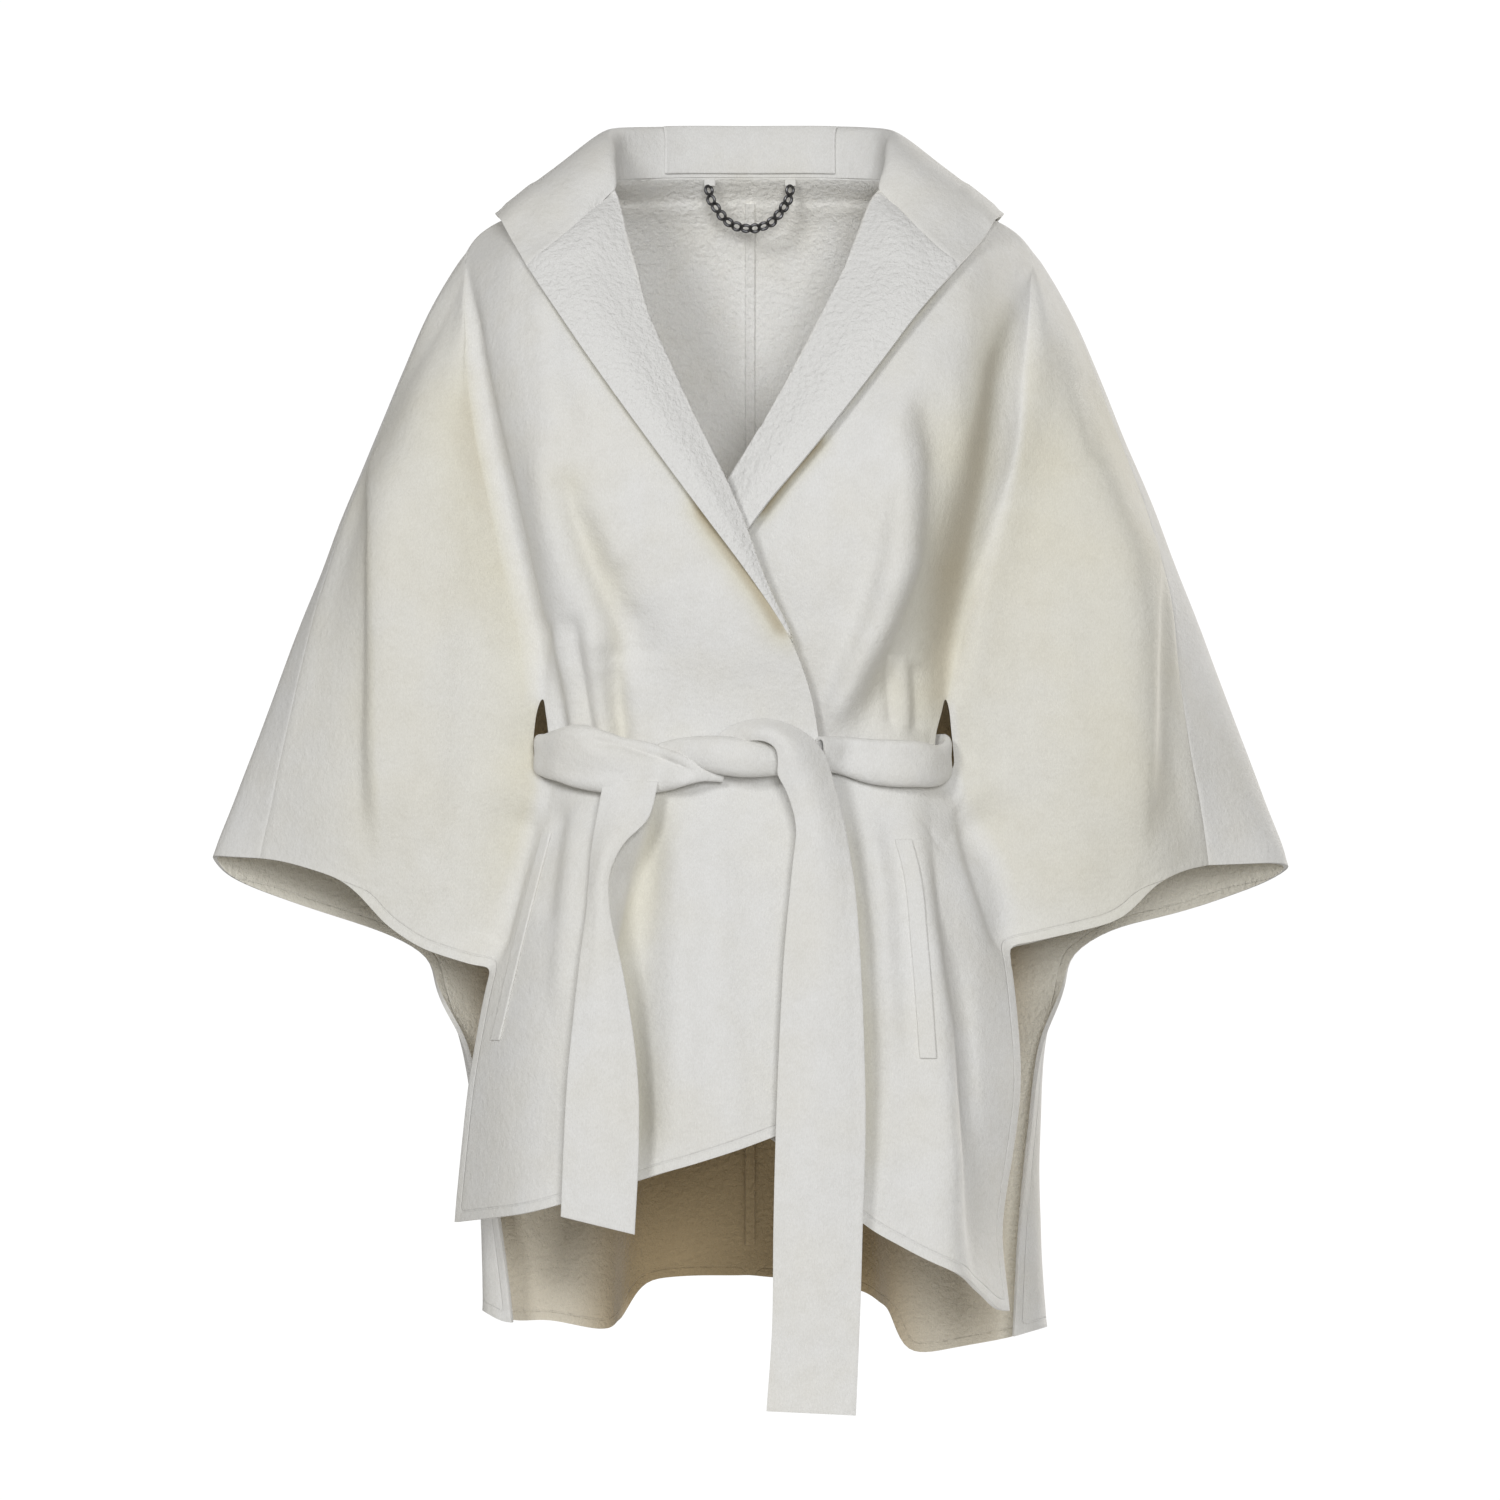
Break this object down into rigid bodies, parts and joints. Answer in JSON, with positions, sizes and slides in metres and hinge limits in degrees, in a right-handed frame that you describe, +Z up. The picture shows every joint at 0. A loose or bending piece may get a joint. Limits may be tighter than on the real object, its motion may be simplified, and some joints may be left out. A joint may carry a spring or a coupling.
{
  "type": "cape coat",
  "caption": "Wrap cape coat in thick brushed cloth, with a turned collar, cape sleeves, a tied belt and a hem that drops at the back.",
  "frame": {"origin": "the wearer's neck at shoulder height, on the coat's middle plane, where the coat is held when worn", "axes": "+X to the wearer's left, the front faces -Y, +Z up"},
  "size_m": [0.7743, 0.3058, 0.9103],
  "materials": {
    "wool": "brushed double-faced wool",
    "metal": "dark polished chain"
  },
  "bodies": {
    "root": {"front_right": "wool", "front_left": "wool", "back_right": "wool", "back_left": "wool", "collar": "wool", "neck_band": "wool", "pocket_welt_right": "wool", "pocket_welt_left": "wool", "belt_band": "wool", "belt_knot": "wool", "belt_tail_long": "wool", "belt_tail_short": "wool", "chain_tab_right": "wool", "chain_tab_left": "wool", "hanger_chain": "metal"}
  },
  "joints": []
}
